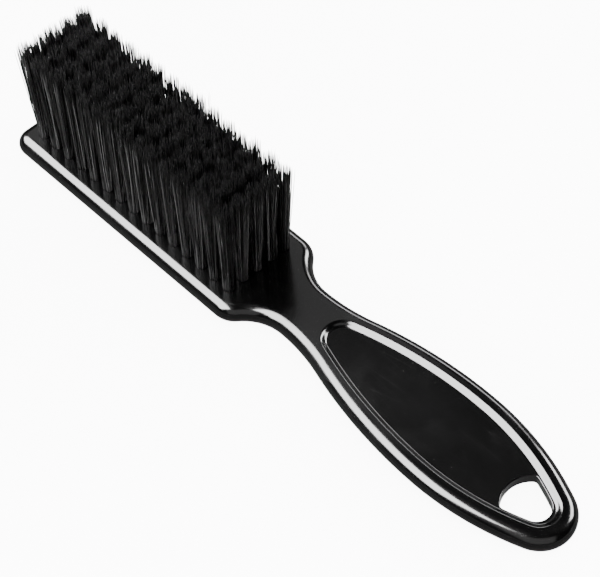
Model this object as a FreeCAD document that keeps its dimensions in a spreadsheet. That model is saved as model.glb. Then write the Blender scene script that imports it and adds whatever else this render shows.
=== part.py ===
import FreeCAD, Part
import math
import os

import Sketcher
from FreeCAD import Placement, Rotation, Vector

# A fade brush, laid on its back: bristles up (+Z), handle toward +X.
# Everything is drawn in the head's own frame: x = 0 at the head's far end, y = 0 on the
# centre line and z = 0 on the face that the bristles stand on. The whole brush then
# turns by the small rest_tilt, so that it stands on the two ends of its arched back,
# and its origin moves to the middle of its bounding box, at the bottom.

doc = FreeCAD.newDocument("fade_brush")

# ---------------------------------------------------------------- driving dimensions
DIMENSIONS = [
    ("overall_length", 181.0, "far end of the head to the tip of the handle"),
    ("head_half_width", 15.6, "half the width of the head"),
    ("head_corner_radius", 4.2, "corners at the far end of the head, seen from above"),
    ("shoulder_x", 77.5, "where the head's straight sides end"),
    ("shoulder_radius", 7.0, "rounded shoulders between head and neck"),
    ("neck_x", 93.0, "narrowest place of the neck, where the handle starts to arch"),
    ("neck_half_width", 8.1, "half the width there"),
    ("belly_x", 144.0, "widest place of the handle"),
    ("belly_half_width", 15.4, "half the width there"),
    ("belly_front_radius", 130.0, "side of the handle, from neck to belly"),
    ("belly_rear_radius", 78.0, "side of the handle, from belly to tip"),
    ("thickness", 6.0, "thickness of the moulding"),
    ("edge_radius", 2.95, "bullnose round the whole outline"),
    ("arch_radius", 1075.0, "downward curve of the handle, seen from the side"),
    ("rest_tilt", 1.114, "turn that stands the arched back on a table, in degrees"),
    ("rim_width", 4.7, "raised rim round the handle's sunk panel"),
    ("panel_front_x", 102.0, "neck end of the sunk panel"),
    ("panel_depth", 1.0, "depth of the panel at the front, and run of its sloped wall"),
    ("back_panel_depth", 2.0, "depth of the same panel at the back"),
    ("eye_x", 162.3, "head side of the hanging hole, on the centre line"),
    ("eye_tip_x", 174.5, "round tip of the hanging hole"),
    ("eye_front_radius", 8.2, "bowed head side of the hanging hole"),
    ("eye_corner_radius", 1.2, "rounding of that side's two corners"),
    ("eye_inset", 0.3, "hanging hole's sides, inside the foot of the panel's wall"),
    ("row_count", 15, "transverse rows of tufts"),
    ("column_count", 5, "tufts in a row"),
    ("row_pitch", 5.0, "row to row"),
    ("column_pitch", 4.6, "tuft to tuft within a row"),
    ("first_row_x", 76.0, "row 01, next to the handle"),
    ("tuft_hole_diameter", 3.0, "blind hole for one tuft"),
    ("tuft_hole_depth", 4.4, "depth of that hole"),
    ("tuft_root_radius", 1.44, "packed bundle inside the hole"),
    ("tuft_top_radius", 2.05, "bundle at its trimmed top"),
    ("tuft_height", 30.0, "trimmed height above the head"),
    ("tuft_top_chamfer", 0.5, "worn edge of the trimmed top"),
    ("root_gap", 0.1, "gap under the folded bundle"),
    ("anchor_length", 3.5, "flat wire across the hole, its ends held in the plastic"),
    ("anchor_height", 1.2, "width of the flat wire, upright in the hole"),
    ("anchor_thickness", 0.3, "thickness of the flat wire"),
    ("anchor_depth", 4.0, "lower edge of the anchor, below the head's face"),
    ("anchor_play", 0.01, "play round the anchor in bundle and plastic"),
]

sheet = doc.addObject("Spreadsheet::Sheet", "Dims")
for line, (alias, value, meaning) in enumerate(DIMENSIONS, start=1):
    sheet.set(f"A{line}", alias)
    sheet.set(f"B{line}", str(value))
    sheet.set(f"C{line}", meaning)
    sheet.setAlias(f"B{line}", alias)
doc.recompute()


def dim(alias):
    """The number in the sheet under this alias."""
    return float(getattr(sheet, alias))


# ------------------------------------------------------------------- sketch helpers
X_AXIS, Y_AXIS = -1, -2
START, END, CENTRE = 1, 2, 3
ORIGIN = (X_AXIS, START)
MARGIN = 5.0  # how far cutting sketches reach past the moulding
BLANK_DEPTH = 14.0  # the blank reaches below the lowest place of the arched back
SAME = 1e-3  # lengths and volumes closer than this are taken as equal


def new_body(label):
    body = doc.addObject("PartDesign::Body", label)
    body.Label = label
    return body


def origin_feature(body, role):
    return next(f for f in body.Origin.OriginFeatures if f.Role == role)


def new_sketch(body, name, plane, height=None):
    """A sketch on one of the body's origin planes, moved along its normal by an expression."""
    sketch = body.newObject("Sketcher::SketchObject", name)
    sketch.AttachmentSupport = [(origin_feature(body, plane), "")]
    sketch.MapMode = "FlatFace"
    if height:
        sketch.setExpression("AttachmentOffset.Base.z", height)
    return sketch


def bind(sketch, kind, where, value, formula):
    """Add one dimension to a sketch and drive it by the sheet."""
    index = sketch.addConstraint(Sketcher.Constraint(kind, *where, value))
    sketch.setExpression(f"Constraints[{index}]", formula)


def bind_point(sketch, curve, end, point, x_formula, y_formula):
    """Drive both coordinates of a point by the sheet."""
    bind(sketch, "DistanceX", (*ORIGIN, curve, end), point[0], x_formula)
    bind(sketch, "DistanceY", (*ORIGIN, curve, end), point[1], y_formula)


def arc_through(centre, start, end, turn):
    """An arc round centre from start to end, counter-clockwise where turn is 1, else -1."""
    first, last = (start, end) if turn > 0 else (end, start)
    circle = Part.Circle(Vector(*centre, 0), Vector(0, 0, 1), math.dist(centre, start))
    angles = [math.atan2(p[1] - centre[1], p[0] - centre[0]) for p in (first, last)]
    ends = (START, END) if turn > 0 else (END, START)
    return Part.ArcOfCircle(circle, *angles), *ends


def line_through(start, end):
    return Part.LineSegment(Vector(*start, 0), Vector(*end, 0)), START, END


def add_chain(sketch, steps, kind, closed=False):
    """Add curves end to end, joined by constraints of one kind, and return their numbers."""
    ids = [sketch.addGeometry(curve, False) for curve, _, _ in steps]
    last = len(steps) if closed else len(steps) - 1
    for here in range(last):
        after = (here + 1) % len(steps)
        joint = (ids[here], steps[here][2], ids[after], steps[after][1])
        sketch.addConstraint(Sketcher.Constraint(kind, *joint))
    return ids


def add_polygon(sketch, corners):
    """A closed loop of straight lines."""
    pairs = zip(corners, corners[1:] + corners[:1])
    return add_chain(sketch, [line_through(a, b) for a, b in pairs], "Coincident", closed=True)


def point_towards(start, target, reach):
    """The point at this reach from start, on the line to target."""
    span = math.dist(start, target)
    return tuple(s + (t - s) * reach / span for s, t in zip(start, target))


def mirrored(point, side):
    return (point[0], side * point[1])


# ------------------------------------------------- the handle's oval, at any inset
def handle_oval(inset):
    """The +Y half of the oval, moved in by inset: arc centres, radii and joints."""
    belly_x, belly = dim("belly_x"), dim("belly_half_width")
    front, rear = dim("belly_front_radius"), dim("belly_rear_radius")
    # The tip's circle is centred on the centre line and touches the rear side arc.
    reach, drop = dim("overall_length") - belly_x, rear - belly
    tip = (rear**2 - reach**2 - drop**2) / (2 * (rear - reach))
    oval = {
        "front_centre": (belly_x, belly - front),
        "rear_centre": (belly_x, belly - rear),
        "tip_centre": (dim("overall_length") - tip, 0.0),
        "front_radius": front - inset,
        "rear_radius": rear - inset,
        "belly": (belly_x, belly - inset),
        "tip": (dim("overall_length") - inset, 0.0),
    }
    oval["tip_start"] = point_towards(
        oval["rear_centre"], oval["tip_centre"], oval["rear_radius"]
    )
    return oval


def oval_curves(oval, start, side, with_front=True):
    """Front side, rear side and tip of one half of the oval, from start to the tip.

    Without the front, start lies on the rear side.
    """
    points = [start, oval["belly"], oval["tip_start"], oval["tip"]]
    centres = [oval["front_centre"], oval["rear_centre"], oval["tip_centre"]]
    if not with_front:
        del points[1], centres[0]
    return [
        arc_through(mirrored(c, side), mirrored(a, side), mirrored(b, side), -side)
        for c, a, b in zip(centres, points, points[1:])
    ]


def bind_oval(sketch, ids, oval, side, less):
    """Drive the three arcs of oval_curves. The text in less takes the inset off."""
    front, rear, tip = ids
    front_end = END if side < 0 else START
    tip_end = END if side < 0 else START
    radii = ((front, "front_radius"), (rear, "rear_radius"))
    for curve, name in radii:
        bind(sketch, "Radius", (curve,), oval[name], f"Dims.belly_{name}{less}")
    sign = "" if side > 0 else "-"
    belly_formula = f"{sign}(Dims.belly_half_width{less})"
    belly = mirrored(oval["belly"], side)
    bind_point(sketch, front, front_end, belly, "Dims.belly_x", belly_formula)
    tip_formula = f"Dims.overall_length{less}"
    bind(sketch, "DistanceX", (*ORIGIN, tip, tip_end), oval["tip"][0], tip_formula)
    sketch.addConstraint(Sketcher.Constraint("PointOnObject", tip, CENTRE, X_AXIS))


# ----------------------------------------------------------- the moulding's outline
def hollow_radius(bulge_x, bulge_half_width, bulge_radius):
    """Radius of the neck's hollow arc that touches an arc bulging at bulge_x."""
    reach = bulge_x - dim("neck_x")
    rise = bulge_half_width - dim("neck_half_width")
    return (reach**2 + rise**2) / (2 * rise) - bulge_radius


def draw_outline_half(sketch, side):
    """One side of the brush seen from above, from the head's far end to the tip."""
    half, corner = dim("head_half_width"), dim("head_corner_radius")
    shoulder_x, shoulder = dim("shoulder_x"), dim("shoulder_radius")
    neck = (dim("neck_x"), dim("neck_half_width"))
    oval = handle_oval(0.0)
    front_centre, front_radius = oval["front_centre"], oval["front_radius"]

    head_hollow = hollow_radius(shoulder_x, half, shoulder)
    handle_hollow = hollow_radius(*oval["belly"], front_radius)
    shoulder_centre = (shoulder_x, half - shoulder)
    head_hollow_centre = (neck[0], neck[1] + head_hollow)
    handle_hollow_centre = (neck[0], neck[1] + handle_hollow)
    shoulder_end = point_towards(shoulder_centre, head_hollow_centre, shoulder)
    hollow_end = point_towards(handle_hollow_centre, front_centre, handle_hollow)

    def arc(centre, start, end, turn):
        return arc_through(*(mirrored(p, side) for p in (centre, start, end)), turn * side)

    far_end = (0.0, half - corner)
    curves = [
        line_through((0.0, 0.0), mirrored(far_end, side)),
        arc((corner, half - corner), far_end, (corner, half), -1),
        line_through((corner, side * half), (shoulder_x, side * half)),
        arc(shoulder_centre, (shoulder_x, half), shoulder_end, -1),
        arc(head_hollow_centre, shoulder_end, neck, 1),
        arc(handle_hollow_centre, neck, hollow_end, 1),
        *oval_curves(oval, hollow_end, side),
    ]
    ids = add_chain(sketch, curves, "Tangent")
    end_line, corner_arc, side_line, shoulder_arc, head_arc = ids[:5]

    sign = "" if side > 0 else "-"
    sketch.addConstraint(Sketcher.Constraint("Coincident", end_line, START, *ORIGIN))
    sketch.addConstraint(Sketcher.Constraint("Vertical", end_line))
    sketch.addConstraint(Sketcher.Constraint("Horizontal", side_line))
    bind(sketch, "Radius", (corner_arc,), corner, "Dims.head_corner_radius")
    bind(sketch, "Radius", (shoulder_arc,), shoulder, "Dims.shoulder_radius")
    side_end = (shoulder_x, side * half)
    side_formula = f"{sign}Dims.head_half_width"
    bind_point(sketch, side_line, END, side_end, "Dims.shoulder_x", side_formula)
    neck_end = END if side > 0 else START
    neck_point = mirrored(neck, side)
    neck_formula = f"{sign}Dims.neck_half_width"
    bind_point(sketch, head_arc, neck_end, neck_point, "Dims.neck_x", neck_formula)
    bind(sketch, "DistanceX", (*ORIGIN, head_arc, CENTRE), neck[0], "Dims.neck_x")
    bind_oval(sketch, ids[6:], oval, side, "")


# ------------------------------------------------------- the arch, seen from the side
def draw_arch_waste(sketch, drop, drop_formula, start_x, edge_z):
    """What a cut takes off one side of an arched layer that lies drop below the face.

    The waste lies between the layer's arch and the level edge_z. Where it starts ahead of
    the neck, the layer is flat up to there.
    """
    neck_x, radius = dim("neck_x"), dim("arch_radius")
    centre = (neck_x, -radius)
    layer = radius - drop
    end_x = dim("overall_length") + MARGIN

    def on_arch(x):
        return (x, -radius + math.sqrt(layer**2 - (x - neck_x) ** 2))

    arch_start = on_arch(max(start_x, neck_x))
    arch_end = on_arch(end_x)
    curves = [
        arc_through(centre, arch_start, arch_end, -1),
        line_through(arch_end, (end_x, edge_z)),
        line_through((end_x, edge_z), (start_x, edge_z)),
        line_through((start_x, edge_z), (start_x, arch_start[1])),
    ]
    if start_x < neck_x:
        curves.append(line_through((start_x, arch_start[1]), arch_start))
    ids = add_chain(sketch, curves, "Coincident", closed=True)
    bind(sketch, "Radius", (ids[0],), layer, f"Dims.arch_radius - {drop_formula}")
    bind_point(sketch, ids[0], CENTRE, centre, "Dims.neck_x", "-Dims.arch_radius")


def set_pocket(body, name, sketch, **settings):
    pocket = body.newObject("PartDesign::Pocket", name)
    pocket.Profile = sketch
    for key, value in settings.items():
        setattr(pocket, key, value)
    body.Tip = pocket
    return pocket


THROUGH_BOTH_WAYS = {"Type": 1, "Midplane": True}


def volume_of(feature):
    doc.recompute()
    return feature.Shape.Volume


def must_cut(before, feature):
    """Stop where a cut missed the solid."""
    after = volume_of(feature)
    if not after < before - SAME:
        raise RuntimeError(f"{feature.Label} cuts nothing")
    return after


# ---------------------------------------------------------------------- handle_body
def along_y(edge):
    """Is this a straight edge across the brush?"""
    first, last = (vertex.Point for vertex in edge.Vertexes)
    return abs(first.x - last.x) < SAME and abs(first.z - last.z) < SAME


def edge_names(shape, wanted):
    return [f"Edge{n}" for n, edge in enumerate(shape.Edges, start=1) if wanted(edge)]


def rim_edges(shape):
    """The outline's edges, round the top and the bottom of the blank."""
    neck_x = dim("neck_x")

    def is_rim(edge):
        box = edge.BoundBox
        upright = box.XLength < SAME and box.YLength < SAME
        # The arch starts at the neck, with an edge from side to side that stays sharp.
        seam = along_y(edge) and abs(box.Center.x - neck_x) < SAME
        return not upright and not seam

    return edge_names(shape, is_rim)


def add_blank(body):
    """The moulding without holes: outline, arch and bullnose."""
    outline = new_sketch(body, "outline", "XY_Plane")
    for side in (1, -1):
        draw_outline_half(outline, side)
    pad = body.newObject("PartDesign::Pad", "outline_pad")
    pad.Profile = outline
    pad.Length = BLANK_DEPTH
    pad.Reversed = True
    volume = volume_of(pad)

    arch = new_sketch(body, "arch", "XZ_Plane")
    draw_arch_waste(arch, 0.0, "0", dim("neck_x"), MARGIN)
    draw_arch_waste(arch, dim("thickness"), "Dims.thickness", -MARGIN, -BLANK_DEPTH - MARGIN)
    trim = set_pocket(body, "arch_trim", arch, **THROUGH_BOTH_WAYS)
    must_cut(volume, trim)

    bullnose = body.newObject("PartDesign::Fillet", "bullnose")
    bullnose.Base = (trim, rim_edges(trim.Shape))
    bullnose.setExpression("Radius", "Dims.edge_radius")
    body.Tip = bullnose
    return volume_of(bullnose)


def eye_oval():
    """The oval through the hanging hole's long sides, with the hole's own round tip."""
    oval = handle_oval(dim("rim_width") + dim("panel_depth") + dim("eye_inset"))
    rear, side, tip_x = oval["rear_centre"], oval["rear_radius"], dim("eye_tip_x")
    reach = tip_x - rear[0]
    tip = (side**2 - reach**2 - rear[1] ** 2) / (2 * (side - reach))
    oval["tip"] = (tip_x, 0.0)
    oval["tip_centre"] = (tip_x - tip, 0.0)
    oval["tip_start"] = point_towards(rear, oval["tip_centre"], side)
    return oval


def eye_corner(oval):
    """Where the hanging hole's bowed side meets its long sides, on the +Y side."""
    bow = dim("eye_front_radius")
    bow_x = dim("eye_x") + bow
    # Two circles cross on a line at right angles to the line between their centres.
    rear_x, rear_y = oval["rear_centre"]
    span = math.dist((bow_x, 0.0), (rear_x, rear_y))
    along = (span**2 + bow**2 - oval["rear_radius"] ** 2) / (2 * span)
    across = math.sqrt(bow**2 - along**2)
    unit = ((rear_x - bow_x) / span, rear_y / span)
    corner = (bow_x + unit[0] * along + unit[1] * across, unit[1] * along - unit[0] * across)
    return (bow_x, 0.0), corner


def add_eye(body, volume):
    """The hanging hole, a triangle with bowed sides that ends in a round tip."""
    oval = eye_oval()
    bow_centre, corner = eye_corner(oval)
    low = mirrored(corner, -1)
    sketch = new_sketch(body, "eye", "XY_Plane")
    rear, tip_centre = mirrored(oval["rear_centre"], -1), oval["tip_centre"]
    tip_low = mirrored(oval["tip_start"], -1)
    curves = [
        *oval_curves(oval, corner, 1, with_front=False),
        arc_through(tip_centre, oval["tip"], tip_low, -1),
        arc_through(rear, tip_low, low, -1),
        arc_through(bow_centre, low, corner, -1),
    ]
    ids = add_chain(sketch, curves, "Coincident", closed=True)
    less = " - Dims.rim_width - Dims.panel_depth - Dims.eye_inset"
    for curve in (ids[0], ids[3]):
        rear_formula = f"Dims.belly_rear_radius{less}"
        bind(sketch, "Radius", (curve,), oval["rear_radius"], rear_formula)
    bow = dim("eye_front_radius")
    bind(sketch, "Radius", (ids[4],), bow, "Dims.eye_front_radius")
    eye = set_pocket(body, "eye_cut", sketch, **THROUGH_BOTH_WAYS)
    volume = must_cut(volume, eye)

    def is_corner(edge):
        box = edge.BoundBox
        upright = box.XLength < SAME and box.YLength < SAME
        beside = math.dist((box.Center.x, abs(box.Center.y)), corner)
        return upright and beside < dim("eye_corner_radius")

    rounding = body.newObject("PartDesign::Fillet", "eye_corners")
    rounding.Base = (eye, edge_names(eye.Shape, is_corner))
    rounding.setExpression("Radius", "Dims.eye_corner_radius")
    body.Tip = rounding
    return volume_of(rounding)


def column_offsets():
    """Each column's place across the brush, in pitches from the centre line."""
    count = int(dim("column_count"))
    return [column - (count - 1) / 2 for column in range(count)]


def add_rows(body, name, feature):
    """Repeat a feature of row 01 over all rows, toward the head's far end."""
    pattern = body.newObject("PartDesign::LinearPattern", name)
    pattern.Originals = [feature]
    pattern.Direction = (origin_feature(body, "X_Axis"), [""])
    pattern.Reversed = True
    pattern.setExpression("Length", "(Dims.row_count - 1) * Dims.row_pitch")
    pattern.setExpression("Occurrences", "Dims.row_count")
    body.Tip = pattern
    return pattern


def add_tuft_holes(body, volume):
    """Blind holes for the tufts, each with the slit that its anchor is driven down."""
    first_x, pitch = dim("first_row_x"), dim("column_pitch")
    circles = new_sketch(body, "tuft_hole_row", "XY_Plane")
    for offset in column_offsets():
        centre = (first_x, offset * pitch)
        radius = dim("tuft_hole_diameter") / 2
        circle = Part.Circle(Vector(*centre, 0), Vector(0, 0, 1), radius)
        curve = circles.addGeometry(circle, False)
        bind(circles, "Diameter", (curve,), 2 * radius, "Dims.tuft_hole_diameter")
        across = f"{offset} * Dims.column_pitch"
        bind_point(circles, curve, CENTRE, centre, "Dims.first_row_x", across)
    holes = set_pocket(body, "tuft_holes", circles)
    holes.setExpression("Length", "Dims.tuft_hole_depth")
    volume = must_cut(volume, holes)
    volume = must_cut(volume, add_rows(body, "tuft_hole_rows", holes))

    slits = new_sketch(body, "anchor_slit_row", "XY_Plane")
    reach = dim("anchor_length") / 2 + dim("anchor_play")
    half = dim("anchor_thickness") / 2 + dim("anchor_play")
    for offset in column_offsets():
        left, right = first_x - reach, first_x + reach
        low, high = offset * pitch - half, offset * pitch + half
        corners = [(left, low), (right, low), (right, high), (left, high)]
        ids = add_polygon(slits, corners)
        x_text = "Dims.first_row_x {} (Dims.anchor_length / 2 + Dims.anchor_play)"
        y_text = f"{offset} * Dims.column_pitch {{}} (Dims.anchor_thickness / 2 + Dims.anchor_play)"
        bind_point(slits, ids[0], START, corners[0], x_text.format("-"), y_text.format("-"))
        bind_point(slits, ids[2], START, corners[2], x_text.format("+"), y_text.format("+"))
        for curve, kind in zip(ids, ("Horizontal", "Vertical") * 2):
            slits.addConstraint(Sketcher.Constraint(kind, curve))
    slit_cut = set_pocket(body, "anchor_slits", slits)
    slit_cut.setExpression("Length", "Dims.anchor_depth + Dims.anchor_play")
    volume = must_cut(volume, slit_cut)
    must_cut(volume, add_rows(body, "anchor_slit_rows", slit_cut))


def draw_panel_outline(sketch):
    """The sunk panel's edge: the oval moved in by the rim, with a round neck end."""
    oval = handle_oval(dim("rim_width"))
    front_x = dim("panel_front_x")
    reach, drop = oval["belly"][0] - front_x, -oval["front_centre"][1]
    front = oval["front_radius"]
    # The neck end's circle is centred on the centre line and touches the side arc.
    cap = (front**2 - reach**2 - drop**2) / (2 * (front - reach))
    cap_centre = (front_x + cap, 0.0)
    cap_end = point_towards(oval["front_centre"], cap_centre, front)
    for side in (1, -1):
        start, end = (front_x, 0.0), mirrored(cap_end, side)
        curves = [
            arc_through(cap_centre, start, end, -side),
            *oval_curves(oval, cap_end, side),
        ]
        ids = add_chain(sketch, curves, "Tangent")
        cap_start = END if side > 0 else START
        formula = "Dims.panel_front_x"
        bind(sketch, "DistanceX", (*ORIGIN, ids[0], cap_start), front_x, formula)
        sketch.addConstraint(Sketcher.Constraint("PointOnObject", ids[0], CENTRE, X_AXIS))
        bind_oval(sketch, ids[1:], oval, side, " - Dims.rim_width")


def panel_cutter(label, front):
    """What sinks the handle's panel, at the front or at the back, with a sloped wall."""
    body = new_body(label)
    top = MARGIN if front else 0.0
    outline = new_sketch(body, f"{label}_outline", "XY_Plane")
    outline.AttachmentOffset = Placement(Vector(0, 0, top), Rotation())
    draw_panel_outline(outline)
    pad = body.newObject("PartDesign::Pad", f"{label}_pad")
    pad.Profile = outline
    pad.Length = BLANK_DEPTH + MARGIN
    pad.Reversed = True
    volume = volume_of(pad)

    if front:
        drop, formula = dim("panel_depth"), "Dims.panel_depth"
        edge_z = -BLANK_DEPTH - MARGIN
    else:
        drop = dim("thickness") - dim("back_panel_depth")
        formula = "(Dims.thickness - Dims.back_panel_depth)"
        edge_z = MARGIN
    layer = new_sketch(body, f"{label}_layer", "XZ_Plane")
    draw_arch_waste(layer, drop, formula, dim("panel_front_x") - MARGIN, edge_z)
    trim = set_pocket(body, f"{label}_trim", layer, **THROUGH_BOTH_WAYS)
    must_cut(volume, trim)

    radius = dim("arch_radius") - drop
    floor = next(
        face
        for face in trim.Shape.Faces
        if face.Surface.TypeId == "Part::GeomCylinder" and abs(face.Surface.Radius - radius) < SAME
    )
    walls = edge_names(trim.Shape, lambda edge: any(edge.isSame(e) for e in floor.Edges))
    slope = body.newObject("PartDesign::Chamfer", f"{label}_slope")
    slope.Base = (trim, walls)
    slope.setExpression("Size", "Dims.panel_depth")
    body.Tip = slope
    doc.recompute()
    return body


def build_handle_body():
    blank = new_body("moulding")
    volume = add_blank(blank)
    volume = add_eye(blank, volume)
    add_tuft_holes(blank, volume)
    sunk = blank
    for label, front in (("front_panel", True), ("back_panel", False)):
        cutter = panel_cutter(label, front)
        cut = doc.addObject("Part::Cut", f"{label}_cut")
        cut.Base = sunk
        cut.Tool = cutter
        must_cut(sunk.Shape.Volume, cut)
        sunk = cut
    sunk.Label = "handle_body"
    return sunk


# ------------------------------------------------------------- tufts and their anchors
def side_sketch(body, name):
    """An upright sketch through the tuft of the -Y end of a row."""
    height = "(Dims.column_count - 1) / 2 * Dims.column_pitch"
    return new_sketch(body, name, "XZ_Plane", height)


def draw_anchor_section(sketch, play):
    """The flat wire's upright rectangle, seen from the side of the brush."""
    reach = dim("anchor_length") / 2 + play
    low = -dim("anchor_depth") - play
    high = dim("anchor_height") - dim("anchor_depth") + play
    ids = add_polygon(sketch, [(-reach, low), (reach, low), (reach, high), (-reach, high)])
    more = " + Dims.anchor_play" if play else ""
    reach_text = f"(Dims.anchor_length / 2{more})"
    low_text = f"-(Dims.anchor_depth{more})"
    high_text = f"Dims.anchor_height - Dims.anchor_depth{more}"
    bind_point(sketch, ids[0], START, (-reach, low), f"-{reach_text}", low_text)
    bind_point(sketch, ids[2], START, (reach, high), reach_text, high_text)
    for curve, kind in zip(ids, ("Horizontal", "Vertical") * 2):
        sketch.addConstraint(Sketcher.Constraint(kind, curve))


def draw_tuft_section(sketch):
    """Half the outline of one tuft: packed root, flare and trimmed top with a worn edge."""
    root, top = dim("tuft_root_radius"), dim("tuft_top_radius")
    height, worn = dim("tuft_height"), dim("tuft_top_chamfer")
    bottom = dim("root_gap") - dim("tuft_hole_depth")
    corners = [
        (0, bottom, "0", "Dims.root_gap - Dims.tuft_hole_depth"),
        (root, bottom, "Dims.tuft_root_radius", "Dims.root_gap - Dims.tuft_hole_depth"),
        (root, 0, "Dims.tuft_root_radius", "0"),
        (top, height - worn, "Dims.tuft_top_radius", "Dims.tuft_height - Dims.tuft_top_chamfer"),
        (top - worn, height, "Dims.tuft_top_radius - Dims.tuft_top_chamfer", "Dims.tuft_height"),
        (0, height, "0", "Dims.tuft_height"),
    ]
    ids = add_polygon(sketch, [corner[:2] for corner in corners])
    for curve, (x, z, x_formula, z_formula) in zip(ids, corners):
        bind_point(sketch, curve, START, (x, z), x_formula, z_formula)


def add_columns(body, features):
    """Repeat the tuft or anchor at the -Y end of a row across the brush."""
    pattern = body.newObject("PartDesign::LinearPattern", f"{body.Label}_columns")
    pattern.Originals = features
    pattern.Direction = (origin_feature(body, "Y_Axis"), [""])
    pattern.setExpression("Length", "(Dims.column_count - 1) * Dims.column_pitch")
    pattern.setExpression("Occurrences", "Dims.column_count")
    body.Tip = pattern


def build_tuft_row(number):
    """Five tufts. Each bundle is folded round its anchor, which leaves a slot in its root."""
    body = new_body(f"tuft_row_{number:02d}")
    section = side_sketch(body, f"{body.Label}_section")
    draw_tuft_section(section)
    tuft = body.newObject("PartDesign::Revolution", f"{body.Label}_tuft")
    tuft.Profile = section
    tuft.ReferenceAxis = (section, ["V_Axis"])
    tuft.Angle = 360.0
    body.Tip = tuft
    volume = volume_of(tuft)
    fold = side_sketch(body, f"{body.Label}_fold")
    draw_anchor_section(fold, dim("anchor_play"))
    slot = set_pocket(body, f"{body.Label}_slot", fold, Midplane=True)
    slot.setExpression("Length", "Dims.anchor_thickness + 2 * Dims.anchor_play")
    must_cut(volume, slot)
    add_columns(body, [tuft, slot])
    return body


def build_anchor_row(number):
    """Five flat wire anchors, one in each hole of the row."""
    body = new_body(f"anchor_row_{number:02d}")
    section = side_sketch(body, f"{body.Label}_section")
    draw_anchor_section(section, 0.0)
    wire = body.newObject("PartDesign::Pad", f"{body.Label}_wire")
    wire.Profile = section
    wire.Midplane = True
    wire.setExpression("Length", "Dims.anchor_thickness")
    body.Tip = wire
    doc.recompute()
    add_columns(body, [wire])
    return body


# ---------------------------------------------------------------- placing and writing
def rest_placement(moulding):
    """Turns the brush onto the two ends of its back, centred over the origin."""
    tilt = Placement(Vector(), Rotation(Vector(0, 1, 0), -dim("rest_tilt")))
    turned = moulding.Shape.copy()
    turned.Placement = tilt
    box = turned.optimalBoundingBox(False)
    shift = Vector(-box.Center.x, -box.Center.y, -box.ZMin)
    return Placement(shift, tilt.Rotation)


def check(parts, solid_counts):
    """Stop before writing if anything failed to build."""
    failed = [o.Label for o in doc.Objects if {"Invalid", "Error"} & set(o.State)]
    if failed:
        raise RuntimeError(f"failed to build: {failed}")
    for part, count in zip(parts, solid_counts):
        shape = part.Shape
        if shape.isNull() or not shape.isValid() or len(shape.Solids) != count:
            raise RuntimeError(f"{part.Label} is not {count} valid solids")


def main():
    moulding = build_handle_body()
    rest = rest_placement(moulding)
    moulding.Placement = rest
    parts, solid_counts = [moulding], [1]
    for number in range(1, int(dim("row_count")) + 1):
        row_x = dim("first_row_x") - (number - 1) * dim("row_pitch")
        for row in (build_tuft_row(number), build_anchor_row(number)):
            row.Placement = rest * Placement(Vector(row_x, 0, 0), Rotation())
            parts.append(row)
            solid_counts.append(int(dim("column_count")))
    doc.recompute()
    check(parts, solid_counts)

    os.makedirs("parts", exist_ok=True)
    for part in parts:
        part.Shape.exportStep(f"parts/{part.Label}.step")
    whole = moulding.Shape.optimalBoundingBox(False)
    print(f"{len(parts)} nodes, body {whole.XLength:.1f} x {whole.YLength:.1f} mm")


main()
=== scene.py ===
import math

import bpy
import numpy as np
from mathutils import Matrix, Vector
from mathutils.geometry import delaunay_2d_cdt


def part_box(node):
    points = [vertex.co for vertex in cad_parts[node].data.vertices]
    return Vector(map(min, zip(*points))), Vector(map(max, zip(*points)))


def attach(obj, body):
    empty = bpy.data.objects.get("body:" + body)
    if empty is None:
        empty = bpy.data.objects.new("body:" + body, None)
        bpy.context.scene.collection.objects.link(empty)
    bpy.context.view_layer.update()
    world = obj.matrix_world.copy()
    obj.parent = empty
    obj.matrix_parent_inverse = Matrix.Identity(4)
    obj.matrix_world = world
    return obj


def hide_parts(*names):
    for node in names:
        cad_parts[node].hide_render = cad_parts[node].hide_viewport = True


# A fade brush that lies on its back, bristles up. The moulding and the tufts are drawn in
# the head's own frame, in millimetres: x = 0 at the head's far end, y = 0 on the centre
# line and z = 0 on the face that the bristles stand on. to_row_frame puts them in place.

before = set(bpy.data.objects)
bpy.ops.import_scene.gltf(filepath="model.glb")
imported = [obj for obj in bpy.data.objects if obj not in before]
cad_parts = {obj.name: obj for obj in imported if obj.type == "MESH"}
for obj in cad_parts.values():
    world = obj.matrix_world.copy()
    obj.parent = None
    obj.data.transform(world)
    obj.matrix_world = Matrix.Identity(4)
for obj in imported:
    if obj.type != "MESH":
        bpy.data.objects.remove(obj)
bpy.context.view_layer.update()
MM = 0.001
SEED = 4602

# --------------------------------------------------------- the head's frame, from the CAD
TUFT_ROWS = sorted(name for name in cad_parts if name.startswith("tuft_row_"))
ANCHOR_ROWS = sorted(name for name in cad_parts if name.startswith("anchor_row_"))
FIRST_ROW_X = 76.0
ANCHOR_MIDDLE_DEPTH = 3.4


def middle(node):
    low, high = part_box(node)
    return (Vector(low) + Vector(high)) / 2


ROW_STEP = (middle(TUFT_ROWS[0]) - middle(TUFT_ROWS[-1])) / (len(TUFT_ROWS) - 1)
ROW_PITCH = ROW_STEP.length / MM
REST_TILT = math.atan2(ROW_STEP.z, ROW_STEP.x)
HEAD_TURN = Matrix.Rotation(-REST_TILT, 4, "Y")
FIRST_ANCHOR = HEAD_TURN @ Vector((FIRST_ROW_X * MM, 0.0, -ANCHOR_MIDDLE_DEPTH * MM))
HEAD_FRAME = Matrix.Translation(middle(ANCHOR_ROWS[0]) - FIRST_ANCHOR) @ HEAD_TURN
BODY_LOW, BODY_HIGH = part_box("handle_body")


def to_row_frame(points):
    """Points in the head's frame, in millimetres, as points in the row frame, in metres."""
    turn = np.array(HEAD_FRAME.to_3x3())
    return points * MM @ turn.T + np.array(HEAD_FRAME.translation)


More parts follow.
